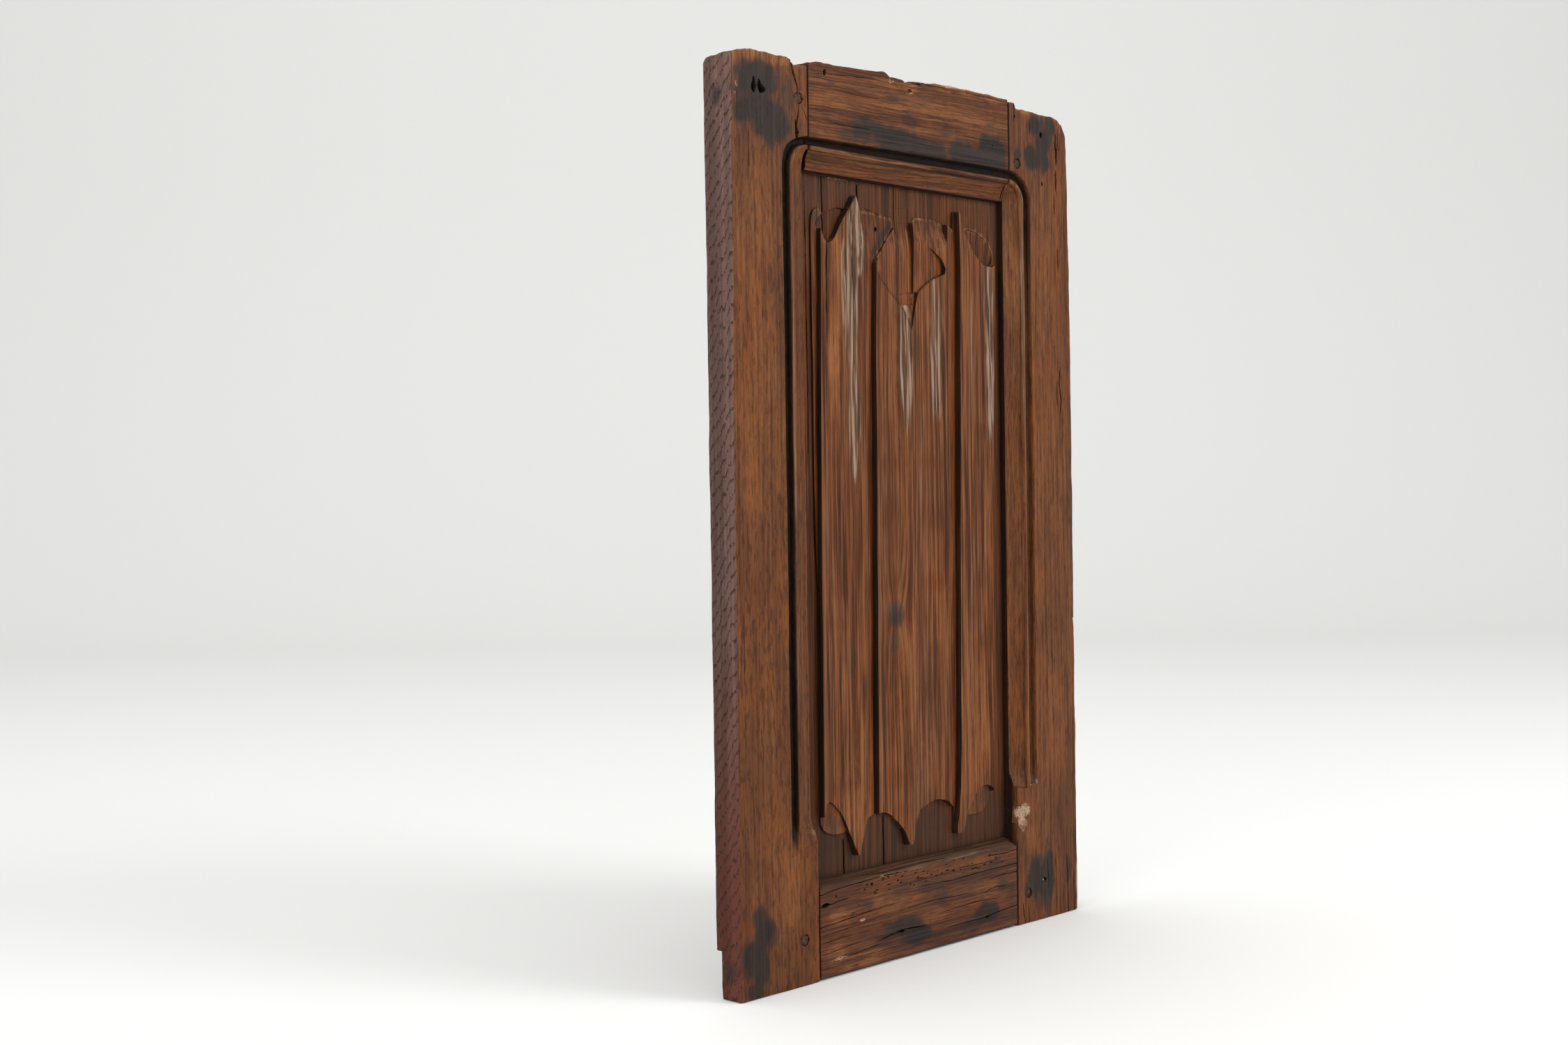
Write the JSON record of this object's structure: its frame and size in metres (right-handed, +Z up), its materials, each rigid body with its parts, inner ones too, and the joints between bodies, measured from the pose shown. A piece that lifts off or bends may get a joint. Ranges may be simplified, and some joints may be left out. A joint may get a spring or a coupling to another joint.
{
  "type": "framed parchemin panel",
  "caption": "Pegged oak frame with a moulded inner edge, holding a board carved with hollow parchment folds.",
  "frame": {"origin": "centre of the underside of the panel, between the feet of its two stiles", "axes": "+Z up the panel, +Y through it from the carved front to the back, +X to the right seen from the front"},
  "size_m": [0.474, 0.03, 0.8069],
  "materials": {
    "frame_oak": "aged, waxed and worn oak with dark stains and open grain",
    "carved_oak": "aged, waxed carved oak, silvery and furrowed on its ridges",
    "peg_oak": "riven oak, darker end grain",
    "old_iron": "corroded hand-made nail, worn bright at its edge"
  },
  "bodies": {
    "root": {"left_stile": "frame_oak", "right_stile": "frame_oak", "top_rail": "frame_oak", "bottom_rail": "frame_oak", "carved_panel": "carved_oak", "peg_top_left": "peg_oak", "peg_top_right": "peg_oak", "peg_bottom_left": "peg_oak", "peg_bottom_right": "peg_oak", "nail_stub": "old_iron"}
  },
  "joints": []
}
